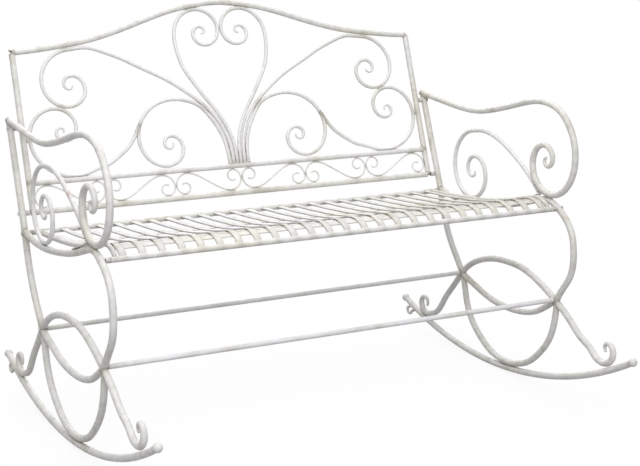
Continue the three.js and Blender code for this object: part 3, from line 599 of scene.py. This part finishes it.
def worn_white_paint(name, soil, cool=screen(235, 233, 237), on_seat=False):
    """Antique white paint: cool and warm patches, warmer round the welds, grey blotches, dirt at the welds
    and painted shade in the creases, a few rubbed flecks and rust spots. Soil is how much of the warm colour
    lies everywhere."""
    material, paint = new_material(name)
    in_crease, around_joint, rusty = [paint.node("ShaderNodeAttribute", {"attribute_name": mark}, None, "Fac")
                                      for mark in ("in_crease", "around_joint", "rusty")]
    if on_seat:
        # On the seat, the painted shade of the straps joins the crease mark
        painted_seat_shade, soil = seat_shade_and_yellowing(paint)
        both = {"Value": in_crease, "Value_001": painted_seat_shade}
        in_crease = paint.node("ShaderNodeMath", {"operation": "MAXIMUM"}, both)
    patches = paint.rise(paint.cloud(6.0, 2.0), 0.45, 0.65)
    warm = soil + (1 - soil) * (0.45 * patches + 0.45 * around_joint)
    colour = paint.blend(warm, cool, screen(219, 217, 205))
    mottle = paint.rise(paint.cloud(75.0, 4.0), 0.4, 0.7)
    colour = paint.blend(mottle * (0.2 + 0.34 * soil), colour, screen(184, 182, 170))
    blotches = paint.rise(paint.cloud(24.0, 3.0), 0.54, 0.68) * (0.35 + 0.65 * patches)
    colour = paint.blend(blotches * (0.16 + 0.4 * soil), colour, screen(152, 150, 134))
    rubbed_area = paint.rise(paint.cloud(9.0, 1.0), 0.55, 0.7)
    flecks = paint.rise(paint.cloud(120.0, 2.0), 0.66, 0.74) * (0.12 + 0.88 * rubbed_area)
    colour = paint.blend(flecks * 0.5, colour, screen(138, 124, 110))
    rust = rusty * (0.3 + 0.7 * mottle)
    colour = paint.blend(rust * 0.8, colour, screen(186, 156, 142))
    # Darkens the colour with dirt at the welds plus painted shade in the creases, on the side rail and along
    # the seat's straps
    grime_and_painted_shade = in_crease * (0.55 + 0.45 * paint.rise(paint.cloud(140.0, 3.0), 0.3, 0.65))
    colour = paint.blend(grime_and_painted_shade * 0.72, colour, screen(122, 118, 104))
    roughness = 0.44 + 0.1 * mottle + 0.15 * grime_and_painted_shade
    height = paint.cloud(140.0, 2.0) * 0.4 + paint.cloud(40.0, 2.0) - flecks * 0.5
    bump = paint.node("ShaderNodeBump", None, {"Strength": 0.08, "Distance": 0.0006, "Height": height})
    shader = paint.node("ShaderNodeBsdfPrincipled", None,
                        {"Base Color": colour, "Roughness": roughness, "Normal": bump, "IOR": 1.45})
    paint.node("ShaderNodeOutputMaterial", None, {"Surface": shader})
    return material


def dark_bolt_steel():
    """Dull dark steel with paler scuffs."""
    material, steel = new_material("dark_bolt_steel")
    scuffs = steel.rise(steel.cloud(260.0, 4.0), 0.45, 0.7)
    colour = steel.blend(scuffs, screen(98, 94, 86), screen(150, 146, 136))
    grain = steel.cloud(400.0)
    bump = steel.node("ShaderNodeBump", None, {"Strength": 0.3, "Distance": 0.0004, "Height": grain})
    sockets = {"Base Color": colour, "Metallic": 0.35 - 0.3 * scuffs, "Roughness": 0.45 + 0.2 * scuffs}
    shader = steel.node("ShaderNodeBsdfPrincipled", None, {**sockets, "Normal": bump})
    steel.node("ShaderNodeOutputMaterial", None, {"Surface": shader})
    return material


# Pieces
CREASE_REACH, WELD_REACH, WORN_REACH, RUST_REACH = 0.0024, 0.010, 0.045, 0.012
WELD_DIRT = 0.6  # against the painted shade in the creases
NEAR_BARS = 0.03  # bars whose middle lines are further apart than this share no crease
RUST_SPOTS = [(-0.445, -0.168, 0.457), (-0.40, -0.176, 0.452), (-0.55, 0.262, 0.627),
              (-0.55, -0.02, 0.545), (0.55, -0.222, 0.42), (0.12, -0.17, 0.455), (0.31, -0.05, 0.438)]
SHARP_ANGLE = np.radians(42)


def gap_to_bars(name, points):
    """Distance from each point of a bar to the nearest other bar: to its middle line less its radius."""
    gap = np.full(len(points), 1.0)
    if name.endswith("_cap"):
        return gap
    own = bars[name]["line"] if name in bars else points
    low, high = own.min(0) - NEAR_BARS, own.max(0) + NEAR_BARS
    for other_name, other in bars.items():
        line = other["line"]
        line = line[((line > low) & (line < high)).all(1)]
        if other_name == name or not len(line):
            continue
        line = line[np.linalg.norm(own[:, None] - line[None], axis=2).min(0) < NEAR_BARS]
        if len(line):
            apart = np.linalg.norm(points[:, None] - line[None], axis=2).min(1)
            gap = np.minimum(gap, apart - other["radius"])
    return gap


def falloff(gap, reach):
    return np.exp(-((np.maximum(gap, 0) / reach) ** 2))


def nearest(points, places):
    return np.linalg.norm(points[:, None] - np.array(places)[None], axis=2).min(1)


SHADE_FROM, SHADE_TO = 0.12, 0.3  # depths between which painted shadow lies on the side rail, where it faces the seat
SHADE_DOWN, SHADE_START, SHADE_RISE = 0.7, 0.72, 0.25  # how far down it faces, and shares of the radius


def shade_line(name, points):
    """Painted shadow on the rail's lower inner side: how far a point lies that way, as a share of the radius.
    """
    line, radius = bars[name]["line"], bars[name]["radius"]
    off = points - line[np.linalg.norm(points[:, None] - line[None], axis=2).argmin(1)]
    inner_and_down = np.array([-np.sign(line[0, 0]), 0, -SHADE_DOWN]) / np.hypot(1, SHADE_DOWN)
    share = np.clip((off @ inner_and_down / radius - SHADE_START) / SHADE_RISE, 0, 1)
    depth = points[:, 1] - BENCH_SHIFT[1]
    return share * ((depth > SHADE_FROM) & (depth < SHADE_TO))


def make_piece(name, node, shells, material):
    """One mesh of all the shells, with the marks that its paint reads."""
    points = np.vstack([s[0] for s in shells])
    starts = np.cumsum([0] + [len(s[0]) for s in shells])
    faces = [[i + int(start) for i in face] for start, shell in zip(starts, shells) for face in shell[1]]
    mesh = bpy.data.meshes.new(name)
    mesh.from_pydata(points.tolist(), [], faces)
    mesh.shade_smooth()
    mesh.set_sharp_from_angle(angle=SHARP_ANGLE)
    to_weld = nearest(points, welds)
    weld_dirt = WELD_DIRT * falloff(to_weld, WELD_REACH)
    # Darkening mark: dirt round the welds, and painted shade where two bars meet
    crease = np.maximum(weld_dirt, falloff(gap_to_bars(name, points), CREASE_REACH))
    # Painted shadow on the side rail's lower inner side, where it faces the seat
    if name.endswith("seat_leg"):
        crease = np.maximum(crease, shade_line(name, points))
    marks = {"in_crease": crease, "around_joint": falloff(to_weld, WORN_REACH),
             "rusty": falloff(nearest(points, RUST_SPOTS), RUST_REACH)}
    for mark, values in marks.items():
        layer = mesh.attributes.new(mark, "FLOAT", "POINT")
        layer.data.foreach_set("value", values.astype(np.float32))
    mesh.materials.append(material)
    piece = bpy.data.objects.new(name, mesh)
    bpy.context.scene.collection.objects.link(piece)
    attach(piece, "root")
    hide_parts(node)
    return piece


for side_word, side_sign in SIDES:
    side_frame(side_word, side_sign)
back()
seat()
white_paint, bolt_steel = worn_white_paint("worn_white_paint", 0.05), dark_bolt_steel()
tube_paint = worn_white_paint("worn_tube_paint", 0.4)
# Darker, greyer base for the seat: partly dirt, partly painted shade of the straps' tops, which are seen at a
# grazing angle
dirty_shaded_seat_paint = worn_white_paint("worn_seat_paint_dirt_and_shade", 0, screen(210, 206, 213), on_seat=True)
bolt_places = {
    "upper_back_bolt": (on_back(UPPER_BOLT), COLLAR_GAP, STILE_BOLT_REACH),
    "lower_back_bolt": (on_back(0), COLLAR_GAP, STILE_BOLT_REACH),
    "rear_seat_bolt": (REAR_RAIL, COLLAR_GAP, RAIL_BOLT_REACH),
    "front_seat_bolt": (FRONT_RAIL, COLLAR_GAP, RAIL_BOLT_REACH),
    "rear_stretcher_bolt": (REAR_NODE, 0, RAIL_BOLT_REACH),
    "front_stretcher_bolt": (FRONT_NODE, 0, RAIL_BOLT_REACH),
}
for side_word, side_sign in SIDES:
    for bolt_name, (bolt_place, bolt_gap, bolt_reach) in bolt_places.items():
        full_name = f"{side_word}_{bolt_name}"
        for part, shell in bolt_shells(side_sign, bolt_place, bolt_gap, bolt_reach).items():
            if part == "shank":
                make_piece(full_name, full_name, [shell], bolt_steel)
            else:
                make_piece(f"{full_name}_{part}", full_name, [shell], white_paint)
for bar_name, made in bars.items():
    bar_paint = tube_paint if made["radius"] >= BACK_TUBE else white_paint
    if bar_name in SEAT_BARS:
        bar_paint = dirty_shaded_seat_paint
    make_piece(bar_name, bar_name, made["shells"], bar_paint)


# Floor, light and camera
def white_to_camera(finish):
    """1 for rays that show the background: camera, glossy and transmission rays."""
    shows = [finish.node("ShaderNodeLightPath", output=ray)
             for ray in ("Is Camera Ray", "Is Glossy Ray", "Is Transmission Ray")]
    total = shows[0] + shows[1] + shows[2]
    return finish.node("ShaderNodeMath", {"operation": "MINIMUM"}, {"Value": total, "Value_001": 1.0})


FLOOR_HALF, FLOOR_CELLS = 9.0, 12
FLOOR_WHITE_SHARE = 0.88  # how far the floor is lifted to white for the camera; the rest keeps the shadow
SHADOW_REACH = (1.0, 2.2)  # metres from the bench over which the floor turns wholly white
AMBIENT = (0.44, 0.44, 0.446, 1)


def lay_floor():
    """Square grid at height zero, x and y even from edge to edge."""
    row = FLOOR_CELLS + 1
    across = np.linspace(-FLOOR_HALF, FLOOR_HALF, row)
    x, y = np.meshgrid(across, across)
    i, j = np.meshgrid(np.arange(FLOOR_CELLS), np.arange(FLOOR_CELLS))
    a = (j * row + i).ravel()
    points = np.c_[x.ravel(), y.ravel(), 0 * x.ravel()]
    faces = np.c_[a, a + 1, a + row + 1, a + row]
    mesh = bpy.data.meshes.new("floor")
    mesh.from_pydata(points.tolist(), [], faces.tolist())
    material, finish = new_material("pale_floor")
    shown = white_to_camera(finish)
    colour = finish.blend(shown, screen(152, 152, 154), screen(252, 252, 252))
    plain = finish.node("ShaderNodeBsdfDiffuse", None, {"Color": colour})
    white = finish.node("ShaderNodeEmission", None, {"Color": (1, 1, 1, 1), "Strength": 1.0})
    place = finish.node("ShaderNodeTexCoord", output="Object")
    away = finish.node("ShaderNodeVectorMath", {"operation": "LENGTH"}, {"Vector": place}, "Value")
    far = finish.rise(away, *SHADOW_REACH)
    share = shown * (FLOOR_WHITE_SHARE + (1 - FLOOR_WHITE_SHARE) * far)
    surface = finish.node("ShaderNodeMixShader", None, {"Fac": share, "Shader": plain, "Shader_001": white})
    finish.node("ShaderNodeOutputMaterial", None, {"Surface": surface})
    mesh.materials.append(material)
    floor = bpy.data.objects.new("floor", mesh)
    bpy.context.scene.collection.objects.link(floor)


def set_world():
    world = bpy.data.worlds.new("studio")
    world.use_nodes = True
    bpy.context.scene.world = world
    finish = Finish(world.node_tree)
    colour = finish.blend(white_to_camera(finish), AMBIENT, (1, 1, 1, 1))
    surface = finish.node("ShaderNodeBackground", None, {"Color": colour, "Strength": 1.0})
    finish.node("ShaderNodeOutputWorld", None, {"Surface": surface})


# Name, place, size and power of each lamp; all of them aim at one point of the bench
LAMP_TARGET = (0, 0, 0.4)
LAMPS = [("key", (-1.3, -2.5, 2.8), 2.8, 90),
         ("top", (0.5, 0.7, 3.2), 2.0, 30),
         ("rear", (0.9, 3.0, 1.9), 2.6, 42)]


def add_softbox(name, place, size, power):
    lamp = bpy.data.lights.new(name, "AREA")
    lamp.shape, lamp.size, lamp.energy = "DISK", size, power
    box = bpy.data.objects.new(name, lamp)
    box.location = place
    box.rotation_euler = (Vector(LAMP_TARGET) - Vector(place)).to_track_quat("-Z", "Y").to_euler()
    bpy.context.scene.collection.objects.link(box)


# The photograph's camera: place, degrees of turn, tilt and roll, focal length in widths of the frame
CAMERA_PLACE = (-1.5122, -2.8914, 1.1290)
CAMERA_TURN, CAMERA_TILT, CAMERA_ROLL = -28.1883, 10.1684, 0.1494
CAMERA_FOCAL = 1496.37 / 640
CAMERA_SHIFT = -0.0984


def set_camera():
    turn, tilt, roll = np.radians([CAMERA_TURN, CAMERA_TILT, CAMERA_ROLL])
    forward = np.array([-np.sin(turn) * np.cos(tilt), np.cos(turn) * np.cos(tilt), -np.sin(tilt)])
    right = np.array([np.cos(turn), np.sin(turn), 0])
    up = np.cross(right, forward)
    right, up = right * np.cos(roll) + up * np.sin(roll), up * np.cos(roll) - right * np.sin(roll)
    data = bpy.data.cameras.new("camera")
    data.sensor_width = 36
    data.lens = CAMERA_FOCAL * data.sensor_width
    data.shift_y = CAMERA_SHIFT
    camera = bpy.data.objects.new("camera", data)
    turned_to = Matrix(np.c_[right, up, -forward].tolist()).to_4x4()
    camera.matrix_world = Matrix.Translation(CAMERA_PLACE) @ turned_to
    bpy.context.scene.collection.objects.link(camera)
    bpy.context.scene.camera = camera


lay_floor()
set_world()
for lamp_row in LAMPS:
    add_softbox(*lamp_row)
set_camera()
bpy.context.scene.view_settings.view_transform = "Standard"
